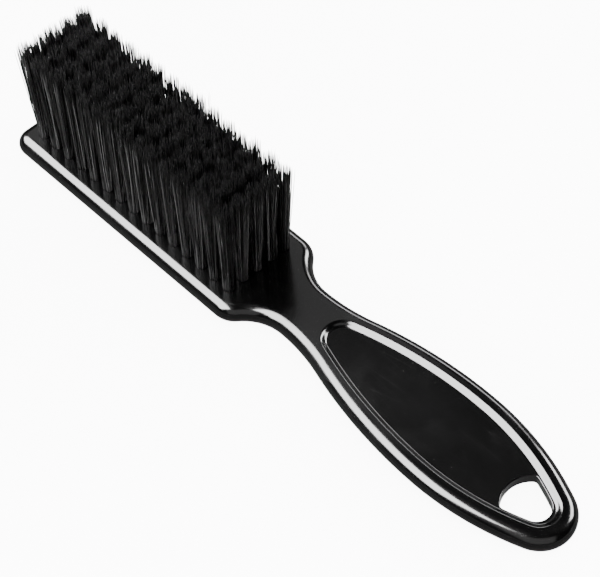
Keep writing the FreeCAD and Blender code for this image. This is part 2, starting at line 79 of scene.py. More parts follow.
def turned(directions):
    """Directions in the head's frame as directions in the row frame."""
    return directions @ np.array(HEAD_FRAME.to_3x3()).T


# ------------------------------------------------------------------ sizes of the moulding
OVERALL_LENGTH = 181.0
HEAD_HALF_WIDTH = (BODY_HIGH[1] - BODY_LOW[1]) / 2 / MM
HEAD_CORNER_RADIUS = 4.2
SHOULDER_X = 77.5
SHOULDER_RADIUS = 7.0
NECK_X = 93.0
NECK_HALF_WIDTH = 8.1
BELLY_X = 144.0
BELLY_HALF_WIDTH = 15.4
BELLY_FRONT_RADIUS = 130.0
BELLY_REAR_RADIUS = 78.0
THICKNESS = 6.0
EDGE_RADIUS = 2.95
ARCH_RADIUS = 1075.0
RIM_WIDTH = 4.7
PANEL_FRONT_X = 102.0
PANEL_DEPTH = 1.0
BACK_PANEL_DEPTH = 2.0
WALL_START = -0.9  # the panel's soft wall runs from here, seen from the panel's outline
WALL_END = 1.0
EYE_X = 162.3
EYE_TIP_X = 174.5
EYE_FRONT_RADIUS = 8.2
EYE_CORNER_RADIUS = 1.2
EYE_INSET = 6.0  # the hanging hole's sides, inside the brush's outline
EYE_LIP = 0.25  # softened edge of the hanging hole
COLUMN_COUNT = 5
COLUMN_PITCH = 4.6
TUFT_HOLE_RADIUS = 1.5
TUFT_HOLE_DEPTH = 4.4
TUFT_HOLE_LIP = 0.12  # softened edge at its mouth

# ------------------------------------------------------------------- fineness of the mesh
STEP = 0.9  # spacing along an outline
LARGEST_TURN = math.radians(6)  # and the most that it turns from point to point
NOSE_STEPS = 26  # round the bullnose, from the bottom to the top
WALL_STEPS = 12
LIP_STEPS = 4
GRID = 2.4  # spacing of the points inside a flat stretch
TUFT_HOLE_SIDES = 20
SAME_POINT = 1e-6  # points of a flat stretch that are closer than this are one


# -------------------------------------------------------------------------- plane outlines
def toward(start, target, reach):
    """The point at this reach from start, on the line to target."""
    start, target = np.array(start), np.array(target)
    return start + (target - start) * reach / np.linalg.norm(target - start)


def arc(centre, start, end, bulge=1):
    """Points and outward normals on an arc, without its end. bulge is -1 on a hollow arc."""
    centre, start, end = (np.array(p, float) for p in (centre, start, end))
    first = math.atan2(*(start - centre)[::-1])
    last = math.atan2(*(end - centre)[::-1])
    turn = (last - first + math.pi) % math.tau - math.pi
    radius = np.linalg.norm(start - centre)
    count = math.ceil(abs(turn) * max(radius / STEP, 1 / LARGEST_TURN))
    angles = first + turn * np.arange(count) / count
    normals = np.stack([np.cos(angles), np.sin(angles)], axis=1)
    return centre + radius * normals, bulge * normals


def line(start, end, normal):
    """Points and outward normals on a straight stretch, without its end."""
    start, end = np.array(start, float), np.array(end, float)
    count = math.ceil(np.linalg.norm(end - start) / STEP)
    along = np.arange(count)[:, None] / count
    return start + (end - start) * along, np.tile(np.array(normal, float), (count, 1))


def joined(stretches):
    """Stretches of an outline as one pair of points and normals."""
    return tuple(np.concatenate(parts) for parts in zip(*stretches))


def both_sides(half, tip):
    """A closed outline from its +Y half, which starts and ends on the centre line."""
    points, normals = half
    flip = np.array([1.0, -1.0])
    points = np.concatenate([points, [tip], (points[1:] * flip)[::-1]])
    normals = np.concatenate([normals, [[1.0, 0.0]], (normals[1:] * flip)[::-1]])
    return points, normals


def handle_oval(inset):
    """Centres and joints of the +Y half of the handle's oval, moved in by inset."""
    reach, drop = OVERALL_LENGTH - BELLY_X, BELLY_REAR_RADIUS - BELLY_HALF_WIDTH
    tip = (BELLY_REAR_RADIUS**2 - reach**2 - drop**2) / (2 * (BELLY_REAR_RADIUS - reach))
    front = (BELLY_X, BELLY_HALF_WIDTH - BELLY_FRONT_RADIUS)
    rear = (BELLY_X, BELLY_HALF_WIDTH - BELLY_REAR_RADIUS)
    tip_centre = (OVERALL_LENGTH - tip, 0.0)
    belly = (BELLY_X, BELLY_HALF_WIDTH - inset)
    tip_start = toward(rear, tip_centre, BELLY_REAR_RADIUS - inset)
    return front, rear, tip_centre, belly, tip_start, (OVERALL_LENGTH - inset, 0.0)


def hollow_radius(bulge_x, bulge_half_width, bulge_radius):
    """Radius of the neck's hollow arc that touches an arc bulging at bulge_x."""
    reach, rise = bulge_x - NECK_X, bulge_half_width - NECK_HALF_WIDTH
    return (reach**2 + rise**2) / (2 * rise) - bulge_radius


def brush_outline():
    """The whole brush, seen from above."""
    half, corner = HEAD_HALF_WIDTH, HEAD_CORNER_RADIUS
    front, rear, tip_centre, belly, tip_start, tip = handle_oval(0.0)
    head_hollow = hollow_radius(SHOULDER_X, half, SHOULDER_RADIUS)
    handle_hollow = hollow_radius(*belly, BELLY_FRONT_RADIUS)
    neck = (NECK_X, NECK_HALF_WIDTH)
    shoulder = (SHOULDER_X, half - SHOULDER_RADIUS)
    head_centre = (NECK_X, NECK_HALF_WIDTH + head_hollow)
    handle_centre = (NECK_X, NECK_HALF_WIDTH + handle_hollow)
    shoulder_end = toward(shoulder, head_centre, SHOULDER_RADIUS)
    hollow_end = toward(handle_centre, front, handle_hollow)
    stretches = [
        line((0.0, 0.0), (0.0, half - corner), (-1.0, 0.0)),
        arc((corner, half - corner), (0.0, half - corner), (corner, half)),
        line((corner, half), (SHOULDER_X, half), (0.0, 1.0)),
        arc(shoulder, (SHOULDER_X, half), shoulder_end),
        arc(head_centre, shoulder_end, neck, bulge=-1),
        arc(handle_centre, neck, hollow_end, bulge=-1),
        arc(front, hollow_end, belly),
        arc(rear, belly, tip_start),
        arc(tip_centre, tip_start, tip),
    ]
    return both_sides(joined(stretches), tip)


def panel_outline():
    """The sunk panel: the oval moved in by the rim, with a round neck end."""
    front, rear, tip_centre, belly, tip_start, tip = handle_oval(RIM_WIDTH)
    radius = BELLY_FRONT_RADIUS - RIM_WIDTH
    reach, drop = belly[0] - PANEL_FRONT_X, -front[1]
    cap = (radius**2 - reach**2 - drop**2) / (2 * (radius - reach))
    cap_centre = (PANEL_FRONT_X + cap, 0.0)
    cap_end = toward(front, cap_centre, radius)
    stretches = [
        arc(cap_centre, (PANEL_FRONT_X, 0.0), cap_end),
        arc(front, cap_end, belly),
        arc(rear, belly, tip_start),
        arc(tip_centre, tip_start, tip),
    ]
    return both_sides(joined(stretches), tip)


def crossing(centre, radius, other, other_radius):
    """Where two circles cross, on the +Y side of the line between their centres."""
    centre, other = np.array(centre), np.array(other)
    span = np.linalg.norm(other - centre)
    unit = (other - centre) / span
    along = (span**2 + radius**2 - other_radius**2) / (2 * span)
    across = math.sqrt(radius**2 - along**2)
    return centre + unit * along + np.array([unit[1], -unit[0]]) * across


def eye_outline():
    """The hanging hole: a bowed head side, two bowed long sides and a round tip."""
    rear, tip = (BELLY_X, BELLY_HALF_WIDTH - BELLY_REAR_RADIUS), (EYE_TIP_X, 0.0)
    side, bow, corner = BELLY_REAR_RADIUS - EYE_INSET, EYE_FRONT_RADIUS, EYE_CORNER_RADIUS
    reach = EYE_TIP_X - BELLY_X
    tip_radius = (side**2 - reach**2 - rear[1] ** 2) / (2 * (side - reach))
    tip_centre = (EYE_TIP_X - tip_radius, 0.0)
    tip_start = toward(rear, tip_centre, side)
    bow_centre = (EYE_X + bow, 0.0)
    corner_centre = crossing(bow_centre, bow - corner, rear, side - corner)
    bow_end = toward(bow_centre, corner_centre, bow)
    side_start = toward(rear, corner_centre, side)
    stretches = [
        arc(bow_centre, (EYE_X, 0.0), bow_end),
        arc(corner_centre, bow_end, side_start),
        arc(rear, side_start, tip_start),
        arc(tip_centre, tip_start, tip),
    ]
    return both_sides(joined(stretches), tip)


def circle_outline(centre, radius, count):
    angles = math.tau * np.arange(count) / count
    normals = np.stack([np.cos(angles), np.sin(angles)], axis=1)
    return np.array(centre) + radius * normals, normals


def inside(points, outline):
    """Which points lie inside a closed outline."""
    x, y = points[:, 0, None], points[:, 1, None]
    x0, y0 = outline.T
    x1, y1 = np.roll(outline, -1, axis=0).T
    between = (y0 > y) != (y1 > y)
    safe = np.where(y1 == y0, 1.0, y1 - y0)
    crosses = between & (x < x0 + (y - y0) * (x1 - x0) / safe)
    return crosses.sum(axis=1) % 2 == 1


# ------------------------------------------------------------------ a skin of smooth faces
def place(name, mesh):
    """Adds a piece of the brush to the scene."""
    piece = bpy.data.objects.new(name, mesh)
    bpy.context.scene.collection.objects.link(piece)
    BRUSH.objects.link(piece)
    return piece


class Skin:
    """Vertices, each with its own normal, and the faces between them, in the head's frame."""

    def __init__(self):
        self.points, self.normals, self.faces = [], [], []

    def add(self, points, normals):
        start = len(self.points)
        self.points.extend(np.asarray(points))
        self.normals.extend(np.asarray(normals))
        return list(range(start, len(self.points)))

    def ring(self, outline, inset, z, out, up):
        """A closed row of vertices. out and up are the normal's parts along the outline's
        own normal and along z."""
        points, normals = outline
        flat = points - inset * normals
        length = math.hypot(out, up)
        lifted = np.column_stack([flat, np.full(len(flat), z)])
        leaning = np.column_stack([normals * out / length, np.full(len(flat), up / length)])
        return self.add(lifted, leaning)

    def bridge(self, first, second):
        """Four-sided faces between two rings with as many vertices."""
        count = len(first)
        for here in range(count):
            after = (here + 1) % count
            self.faces.append((first[here], first[after], second[after], second[here]))

    def strip(self, rings):
        for first, second in zip(rings, rings[1:]):
            self.bridge(first, second)

    def fill(self, outer, holes):
        """A level stretch between a ring and the holes in it. Returns its faces' numbers."""
        first_face = len(self.faces)
        points = np.array(self.points)
        z, up = points[outer[0]][2], self.normals[outer[0]][2]
        loops = [outer, *holes]
        rims = [points[loop][:, :2] for loop in loops]
        fixed = np.concatenate(rims)
        low, high = rims[0].min(axis=0), rims[0].max(axis=0)
        axes = [np.arange(a + GRID / 2, b, GRID) for a, b in zip(low, high)]
        grid = np.stack(np.meshgrid(*axes), axis=-1).reshape(-1, 2)
        kept = inside(grid, rims[0])
        for rim in rims[1:]:
            kept &= ~inside(grid, rim)
        grid = grid[kept]
        gaps = np.linalg.norm(grid[:, None] - fixed[None], axis=2).min(axis=1)
        grid = grid[gaps > GRID / 3]
        level = np.column_stack([grid, np.full(len(grid), z)])
        fresh = self.add(level, np.tile([0.0, 0.0, np.sign(up)], (len(grid), 1)))
        numbers = [number for loop in loops for number in loop] + fresh

        edges, start = [], 0
        for loop in loops:
            count = len(loop)
            edges += [(start + n, start + (n + 1) % count) for n in range(count)]
            start += count
        flat = [Vector(p) for p in np.concatenate([fixed, grid])]
        result = delaunay_2d_cdt(flat, edges, [], 0, SAME_POINT)
        places, triangles, sources = np.array(result[0]), np.array(result[2]), result[3]
        centres = places[triangles].mean(axis=1)
        kept = inside(centres, rims[0])
        for rim in rims[1:]:
            kept &= ~inside(centres, rim)
        for triangle in triangles[kept]:
            self.faces.append(tuple(numbers[sources[corner][0]] for corner in triangle))
        return range(first_face, len(self.faces))

    def bend(self, rise, slope):
        """Moves all vertices along z by rise(x), whose steepness is slope(x)."""
        points, normals = np.array(self.points), np.array(self.normals)
        normals[:, 0] -= slope(points[:, 0]) * normals[:, 2]
        points[:, 2] += rise(points[:, 0])
        normals /= np.linalg.norm(normals, axis=1)[:, None]
        self.points, self.normals = points, normals

    def to_object(self, name):
        """A piece in the scene, with each face turned to the side of its normals."""
        points, normals = to_row_frame(np.array(self.points)), turned(np.array(self.normals))
        faces = []
        for face in self.faces:
            a, b, c = points[list(face[:3])]
            facing = np.cross(b - a, c - a) @ normals[list(face)].sum(axis=0)
            faces.append(face if facing > 0 else face[::-1])
        mesh = bpy.data.meshes.new(name)
        mesh.from_pydata(points.tolist(), [], faces)
        mesh.polygons.foreach_set("use_smooth", [True] * len(faces))
        mesh.normals_split_custom_set_from_vertices(normals.tolist())
        mesh.update()
        return place(name, mesh)


# ---------------------------------------------------------------------------- the moulding
def arch_rise(x):
    """How far the handle's downward arch has moved the moulding along z at x."""
    past = np.maximum(x - NECK_X, 0.0)
    return np.sqrt(ARCH_RADIUS**2 - past**2) - ARCH_RADIUS


def arch_slope(x):
    past = np.maximum(x - NECK_X, 0.0)
    return -past / np.sqrt(ARCH_RADIUS**2 - past**2)


def layer(height, upper):
    """A height on the upper side, or its mirror image on the lower side."""
    return height if upper else -THICKNESS - height


def add_bullnose(skin, outline):
    """The rounded edge all round. Returns its lowest and highest ring."""
    rings = []
    for turn in np.linspace(-math.pi / 2, math.pi / 2, NOSE_STEPS + 1):
        inset = EDGE_RADIUS * (1 - math.cos(turn))
        z = THICKNESS / 2 * (math.sin(turn) - 1)
        out, up = math.cos(turn) / EDGE_RADIUS, math.sin(turn) / (THICKNESS / 2)
        rings.append(skin.ring(outline, inset, z, out, up))
    skin.strip(rings)
    return rings[0], rings[-1]


def panel_depth(upper):
    return PANEL_DEPTH if upper else BACK_PANEL_DEPTH


def add_panel_wall(skin, outline, upper):
    """The panel's soft wall. Returns its highest ring, at the rim, and its foot."""
    depth = panel_depth(upper)
    rings, run = [], WALL_END - WALL_START
    sign = 1 if upper else -1
    for part in np.linspace(0, 1, WALL_STEPS + 1):
        height = -depth * (1 - math.cos(math.pi * part)) / 2
        steepness = -depth * math.pi * math.sin(math.pi * part) / 2 / run
        inset = WALL_START + run * part
        rings.append(skin.ring(outline, inset, layer(height, upper), steepness, sign))
    skin.strip(rings)
    return rings[0], rings[-1]


def lip_rings(skin, outline, radius, face_height, upper):
    """The softened edge where a hole meets a level face, from the face into the hole."""
    rings = []
    sign = 1 if upper else -1
    for turn in np.linspace(0, math.pi / 2, LIP_STEPS + 1):
        grown = radius * (1 - math.sin(turn))
        height = face_height - radius * (1 - math.cos(turn))
        z = layer(height, upper)
        rings.append(skin.ring(outline, -grown, z, -math.sin(turn), sign * math.cos(turn)))
    return rings


def add_eye_wall(skin, outline):
    """The wall of the hanging hole, softened at both faces. Returns its two outer rings."""
    top = lip_rings(skin, outline, EYE_LIP, -panel_depth(True), upper=True)
    bottom = lip_rings(skin, outline, EYE_LIP, -panel_depth(False), upper=False)
    skin.strip(top + bottom[::-1])
    return top[0], bottom[0]


def column_places():
    return [(column - (COLUMN_COUNT - 1) / 2) * COLUMN_PITCH for column in range(COLUMN_COUNT)]


def row_places():
    return [FIRST_ROW_X - row * ROW_PITCH for row in range(len(TUFT_ROWS))]


def add_tuft_holes(skin):
    """The blind holes that the tufts are set in. Returns the rings at their mouths."""
    mouths = []
    for x in row_places():
        for y in column_places():
            outline = circle_outline((x, y), TUFT_HOLE_RADIUS, TUFT_HOLE_SIDES)
            rings = lip_rings(skin, outline, TUFT_HOLE_LIP, 0.0, upper=True)
            rings.append(skin.ring(outline, 0.0, -TUFT_HOLE_DEPTH, -1.0, 0.0))
            skin.strip(rings)
            floor = skin.ring(outline, 0.0, -TUFT_HOLE_DEPTH, 0.0, 1.0)
            skin.faces.append(tuple(floor))
            mouths.append(rings[0])
    return mouths


def build_moulding():
    """The body of the brush in one skin. Its panels' floors are satin, the rest is gloss."""
    skin = Skin()
    panel, eye = panel_outline(), eye_outline()
    bottom, top = add_bullnose(skin, brush_outline())
    eye_rings = add_eye_wall(skin, eye)
    mouths = add_tuft_holes(skin)
    satin_faces = []
    sides = (True, top, eye_rings[0]), (False, bottom, eye_rings[1])
    for upper, face_ring, eye_ring in sides:
        wall_top, wall_foot = add_panel_wall(skin, panel, upper)
        skin.fill(face_ring, [wall_top, *(mouths if upper else [])])
        satin_faces += skin.fill(wall_foot, [eye_ring])
    skin.bend(arch_rise, arch_slope)
    piece = skin.to_object("moulding")
    piece.data.materials.append(gloss_black())
    piece.data.materials.append(satin_black())
    for face in satin_faces:
        piece.data.polygons[face].material_index = 1
    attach(piece, "root")
    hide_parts("handle_body")


# -------------------------------------------------------------------------------- the tufts
FILAMENTS_PER_TUFT = 150
FILAMENT_RADIUS = 0.1
FILAMENT_SIDES = 4
ROOT_RADIUS = 1.38  # bundle where it leaves its hole
TOP_RADIUS = 2.5  # and at its trimmed top
TOP_RADIUS_RANGE = 0.85, 1.1  # least and greatest share of it that a filament takes
ROOT_Z = -4.0
TRIM_HEIGHT = 30.0
UNWORN_HEIGHT = 0.7  # an unworn filament stands this far above the trim height
WEAR_SHAPE, WEAR_SCALE = 1.4, 0.4  # gamma distribution of the length that is worn away
RIM_WEAR = 0.4  # the most that is worn away besides, round a tuft's rim
TUFT_HEIGHT_SPREAD = 0.15
STATIONS = np.array([0.0, 0.13, 0.32, 0.52, 0.72, 0.88, 0.96, 1.0])
TAPER = np.array([1.0, 1.0, 1.0, 1.0, 1.0, 0.85, 0.55, 0.1])
GOLDEN_ANGLE = math.pi * (3 - math.sqrt(5))  # spreads a tuft's filaments evenly
PACKING_SPREAD = 0.025  # unevenness of that, as a share of the bundle's radius
CLUMPS = 5  # groups of filaments that cling together within a tuft
CLUMP_SPREAD = 0.2  # sideways shift of a clump at its top
LEAN_SPREAD = 0.16  # the same for one filament, and for a whole tuft
BOW_SPREAD = 0.16  # sideways bow of a filament, half way up
STRAY_SHARE = 0.1  # filaments that have left their bundle
STRAY_SPREAD = 0.8
FLARE_POWER = 1.15  # above 1, a bundle opens out less at its root than at its top
SHADE_MIDDLE, SHADE_SPREAD = 0.5, 0.3
END_ROW_SPLAY = 3.0  # lean of the far end's row at its top, away from the rest
END_ROW_FADE = 0.6  # each row leans this share of the lean of the row beyond it
NECK_ROW_SPLAY = 0.4


def filament_lines(rng, x, y, lean):
    """The middle lines of one tuft's filaments, as filaments by stations by x, y, z."""
    count = FILAMENTS_PER_TUFT
    order = np.arange(count) + 0.5
    angle = order * GOLDEN_ANGLE + rng.uniform(0, math.tau)
    reach = np.sqrt(order / count)
    disc = np.stack([np.cos(angle), np.sin(angle)], axis=1) * reach[:, None]
    disc += rng.normal(0, PACKING_SPREAD, disc.shape)

    clump_angle = (angle / math.tau * CLUMPS).astype(int) % CLUMPS
    clump_shift = rng.normal(0, CLUMP_SPREAD, (CLUMPS, 2))[clump_angle]
    root = disc * ROOT_RADIUS
    spread = TOP_RADIUS * rng.uniform(*TOP_RADIUS_RANGE, (count, 1))
    top = disc * spread + clump_shift + rng.normal(0, LEAN_SPREAD, (count, 2)) + lean
    stray = rng.random(count) < STRAY_SHARE
    top[stray] += rng.normal(0, STRAY_SPREAD, (stray.sum(), 2))

    worn = rng.gamma(WEAR_SHAPE, WEAR_SCALE, count) + RIM_WEAR * reach**3
    height = TRIM_HEIGHT + UNWORN_HEIGHT - worn + rng.normal(0, TUFT_HEIGHT_SPREAD)
    z = ROOT_Z + (height - ROOT_Z)[:, None] * STATIONS
    part = np.clip(z / height[:, None], 0, 1)[:, :, None]
    bow = rng.normal(0, BOW_SPREAD, (count, 1, 2)) * np.sin(part * math.pi)
    flare = part**FLARE_POWER
    flat = root[:, None] * (1 - flare) + top[:, None] * flare + bow
    flat += np.array([x, y])
    return np.concatenate([flat, z[:, :, None]], axis=2)


def tube_mesh(name, lines, shades):
    """One mesh of thin tapering prisms round the lines, each with its own shade."""
    count, stations = lines.shape[:2]
    along = np.gradient(lines, axis=1)
    along /= np.linalg.norm(along, axis=2)[:, :, None]
    across = np.cross(along, [0.0, 1.0, 0.0])
    across /= np.linalg.norm(across, axis=2)[:, :, None]
    other = np.cross(along, across)
    angles = math.tau * np.arange(FILAMENT_SIDES) / FILAMENT_SIDES
    radius = (FILAMENT_RADIUS * TAPER)[None, :, None, None]
    ring = across[:, :, None] * np.cos(angles)[:, None]
    ring = ring + other[:, :, None] * np.sin(angles)[:, None]
    points = (lines[:, :, None] + ring * radius).reshape(-1, 3)

    number = np.arange(count * stations * FILAMENT_SIDES)
    number = number.reshape(count, stations, FILAMENT_SIDES)
    low, high = number[:, :-1], number[:, 1:]
    turn = np.roll(np.arange(FILAMENT_SIDES), -1)
    quads = np.stack([low, low[:, :, turn], high[:, :, turn], high], axis=-1).reshape(-1, 4)
    tips = number[:, -1]
    faces = quads.tolist() + tips.tolist()

    mesh = bpy.data.meshes.new(name)
    mesh.from_pydata(to_row_frame(points).tolist(), [], faces)
    mesh.polygons.foreach_set("use_smooth", [True] * len(faces))
    shade = mesh.attributes.new("shade", "FLOAT", "POINT")
    shade.data.foreach_set("value", np.repeat(shades, stations * FILAMENT_SIDES))
    # Height along each filament, which the nylon uses for its painted shade at the tips.
    height = mesh.attributes.new("height", "FLOAT", "POINT")
    height.data.foreach_set("value", points[:, 2] / TRIM_HEIGHT)
    mesh.update()
    return mesh


def row_lean(row):
    """How far a row's tufts lean at their tops, along the brush."""
    rows = len(TUFT_ROWS)
    if row == 0:
        return NECK_ROW_SPLAY
    return -END_ROW_SPLAY * END_ROW_FADE ** (rows - 1 - row)


def build_tuft_row(row, node, material):
    """One row's filaments, as one piece in place of its CAD node."""
    rng = np.random.default_rng([SEED, row])
    lines, shades = [], []
    for y in column_places():
        lean = np.array([row_lean(row), 0.0]) + rng.normal(0, LEAN_SPREAD, 2)
        lines.append(filament_lines(rng, row_places()[row], y, lean))
        shade = rng.normal(SHADE_MIDDLE, SHADE_SPREAD, FILAMENTS_PER_TUFT)
        shades.append(np.clip(shade, 0, 1))
    name = node.replace("tuft_row", "tufts")
    mesh = tube_mesh(name, np.concatenate(lines), np.concatenate(shades))
    mesh.materials.append(material)
    piece = place(name, mesh)
    BRISTLES.objects.link(piece)
    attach(piece, "root")
    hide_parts(node)


# -------------------------------------------------------------------------------- materials
# The scale of a noise or cell texture is its features per metre of the brush.
FLOW_SCALE = 38.0
SMUDGE_SCALE = 70.0
SCRATCHED_PATCH_SCALE = 55.0
DUST_SCALE = 520.0
DUSTY_PATCH_SCALE = 160.0
GLOSS_GRAIN_SCALE, SATIN_GRAIN_SCALE = 420.0, 2400.0
SCRATCH_WIDTH = 0.01  # as a share of the gap between scratches
LONG_SCRATCHES = (16.0, 250.0, 16.0), 0.12  # stretch of the cells, and their turn
CROSS_SCRATCHES = (30.0, 300.0, 30.0), -0.7
DEEP_BLACK, FADED_BLACK = (0.00008, 0.00008, 0.00009), (0.0002, 0.0002, 0.00022)
SCRATCH_GREY = 0.0008
DUST_GREY = (0.02, 0.02, 0.019)
GLOSS_ROUGHNESS, SATIN_ROUGHNESS = 0.13, 0.3
FLOW_ROUGHNESS, SMUDGE_ROUGHNESS, SCRATCH_ROUGHNESS = 0.05, 0.06, 0.08  # added to that
GLOSS_SPECULAR, SATIN_SPECULAR = 0.4, 0.06
GROOVE_DEPTH = 0.3  # of a scratch, with the grain's height at 1
GRAIN_HEIGHT = 0.00003  # metres
BUMP_STRENGTH = 0.06


def new_material(name):
    material = bpy.data.materials.new(name)
    material.use_nodes = True
    tree = material.node_tree
    return material, tree, tree.nodes["Principled BSDF"]


def add_node(tree, kind, **settings):
    """A shader node. Settings named after an input set that input, others set the node."""
    node = tree.nodes.new(kind)
    for key, value in settings.items():
        label = key.replace("_", " ").title()
        if label in node.inputs:
            node.inputs[label].default_value = value
        else:
            setattr(node, key, value)
    return node


def ramp(tree, source, stops):
    """Maps a value through a colour ramp of (position, grey or colour)."""
    node = tree.nodes.new("ShaderNodeValToRGB")
    elements = node.color_ramp.elements
    while len(elements) < len(stops):
        elements.new(0.5)
    for element, (position, colour) in zip(elements, stops):
        element.position = position
        element.color = (*colour, 1.0) if isinstance(colour, tuple) else (colour,) * 3 + (1.0,)
    tree.links.new(source, node.inputs["Fac"])
    return node.outputs["Color"]


def mapped(tree, scale=(1.0, 1.0, 1.0), turn=0.0):
    """Object coordinates, stretched and turned about z."""
    coordinates = tree.nodes.new("ShaderNodeTexCoord")
    mapping = tree.nodes.new("ShaderNodeMapping")
    mapping.inputs["Scale"].default_value = scale
    mapping.inputs["Rotation"].default_value = (0.0, 0.0, turn)
    tree.links.new(coordinates.outputs["Object"], mapping.inputs["Vector"])
    return mapping.outputs["Vector"]


def blended(tree, kind, first, second):
    """Two colours mixed in full; kind is the name of the blend."""
    node = tree.nodes.new("ShaderNodeMix")
    node.data_type, node.blend_type = "RGBA", kind
    node.inputs["Factor"].default_value = 1.0
    tree.links.new(first, node.inputs["A"])
    tree.links.new(second, node.inputs["B"])
    return node.outputs["Result"]


def hairlines(tree, stretch, turn):
    """Patches of straight fine scratches: 1 along each line and 0 beside it."""
    cells = add_node(tree, "ShaderNodeTexVoronoi", feature="DISTANCE_TO_EDGE", scale=1.0)
    tree.links.new(mapped(tree, stretch, turn), cells.inputs["Vector"])
    lines = ramp(tree, cells.outputs["Distance"], [(0.0, 1.0), (SCRATCH_WIDTH, 0.0)])
    patches = add_node(tree, "ShaderNodeTexNoise", scale=SCRATCHED_PATCH_SCALE, detail=2.0)
    tree.links.new(mapped(tree, turn=turn), patches.inputs["Vector"])
    worn = ramp(tree, patches.outputs["Fac"], [(0.56, 0.0), (0.7, 1.0)])
    return blended(tree, "MULTIPLY", lines, worn)


def dust(tree):
    """Scattered specks: 1 on a speck and 0 beside it."""
    cells = add_node(tree, "ShaderNodeTexVoronoi", scale=DUST_SCALE)
    tree.links.new(mapped(tree), cells.inputs["Vector"])
    specks = ramp(tree, cells.outputs["Distance"], [(0.03, 1.0), (0.07, 0.0)])
    patches = add_node(tree, "ShaderNodeTexNoise", scale=DUSTY_PATCH_SCALE, detail=3.0)
    tree.links.new(mapped(tree), patches.inputs["Vector"])
    settled = ramp(tree, patches.outputs["Fac"], [(0.5, 0.0), (0.6, 1.0)])
    return blended(tree, "MULTIPLY", specks, settled)


def black_plastic(name, roughness, grain_scale, specular_level):
    """Black moulded plastic: faint flow in its finish, smudges, hairlines and dust."""
    material, tree, shader = new_material(name)
    link = tree.links.new
    flow = add_node(tree, "ShaderNodeTexNoise", scale=FLOW_SCALE, detail=5.0, roughness=0.6)
    link(mapped(tree, (1.0, 2.2, 1.0)), flow.inputs["Vector"])
    long, cross = hairlines(tree, *LONG_SCRATCHES), hairlines(tree, *CROSS_SCRATCHES)
    scratches = blended(tree, "LIGHTEN", long, cross)
    marks = blended(
        tree,
        "LIGHTEN",
        ramp(tree, scratches, [(0.0, 0.0), (1.0, SCRATCH_GREY)]),
        ramp(tree, dust(tree), [(0.0, 0.0), (1.0, DUST_GREY)]),
    )
    plain = ramp(tree, flow.outputs["Fac"], [(0.3, DEEP_BLACK), (0.75, FADED_BLACK)])
    link(blended(tree, "ADD", plain, marks), shader.inputs["Base Color"])

    smudges = add_node(tree, "ShaderNodeTexNoise", scale=SMUDGE_SCALE, detail=4.0, distortion=0.8)
    link(mapped(tree, turn=0.4), smudges.inputs["Vector"])
    dullest = roughness + FLOW_ROUGHNESS
    gloss = blended(
        tree,
        "ADD",
        ramp(tree, flow.outputs["Fac"], [(0.3, roughness), (0.8, dullest)]),
        ramp(tree, smudges.outputs["Fac"], [(0.5, 0.0), (0.68, SMUDGE_ROUGHNESS)]),
    )
    roughened = ramp(tree, scratches, [(0.0, 0.0), (1.0, SCRATCH_ROUGHNESS)])
    link(blended(tree, "ADD", gloss, roughened), shader.inputs["Roughness"])

    grain = add_node(tree, "ShaderNodeTexNoise", scale=grain_scale, detail=2.0)
    link(mapped(tree), grain.inputs["Vector"])
    grooves = ramp(tree, scratches, [(0.0, 0.0), (1.0, GROOVE_DEPTH)])
    height = blended(tree, "SUBTRACT", grain.outputs["Fac"], grooves)
    bump = add_node(tree, "ShaderNodeBump", strength=BUMP_STRENGTH, distance=GRAIN_HEIGHT)
    link(height, bump.inputs["Height"])
    link(bump.outputs["Normal"], shader.inputs["Normal"])
    shader.inputs["IOR"].default_value = 1.5
    shader.inputs["Specular IOR Level"].default_value = specular_level
    return material


def gloss_black():
    """The polished finish of most of the moulding."""
    name = "gloss_black_plastic"
    return black_plastic(name, GLOSS_ROUGHNESS, GLOSS_GRAIN_SCALE, GLOSS_SPECULAR)


def satin_black():
    """The finer, duller finish of the sunk panels' floors."""
    name = "satin_black_plastic"
    return black_plastic(name, SATIN_ROUGHNESS, SATIN_GRAIN_SCALE, SATIN_SPECULAR)


def nylon():
    """Black nylon filament, which varies from strand to strand and carries painted shade that
    darkens it toward the tips.
    """
    material, tree, shader = new_material("black_nylon_filament")
    link = tree.links.new
    shade = add_node(tree, "ShaderNodeAttribute", attribute_name="shade")
    height = add_node(tree, "ShaderNodeAttribute", attribute_name="height")
    strand = ramp(tree, shade.outputs["Fac"], [(0.4, 0.0001), (0.75, 0.0045), (1.0, 0.024)])
    # Painted shade: the base colour fades to near black over each filament's top, darkening the
    # tuft tops.
    tip = ramp(tree, height.outputs["Fac"], [(0.86, 1.0), (0.97, 0.08)])
    link(blended(tree, "MULTIPLY", strand, tip), shader.inputs["Base Color"])
    link(ramp(tree, shade.outputs["Fac"], [(0.2, 0.2), (0.9, 0.55)]), shader.inputs["Roughness"])
    shader.inputs["IOR"].default_value = 1.53
    shader.inputs["Specular IOR Level"].default_value = 0.3
    return material


def wire():
    """Drawn flat wire, with fine lines along it."""
    material, tree, shader = new_material("drawn_flat_wire")
    link = tree.links.new
    lines = add_node(tree, "ShaderNodeTexNoise", scale=60.0, detail=4.0)
    link(mapped(tree, (1.0, 40.0, 40.0)), lines.inputs["Vector"])
    dark_brass, pale_brass = (0.5, 0.36, 0.14), (0.72, 0.56, 0.27)
    colour = ramp(tree, lines.outputs["Fac"], [(0.3, dark_brass), (0.7, pale_brass)])
    link(colour, shader.inputs["Base Color"])
    link(ramp(tree, lines.outputs["Fac"], [(0.3, 0.25), (0.7, 0.42)]), shader.inputs["Roughness"])
    shader.inputs["Metallic"].default_value = 1.0
    return material


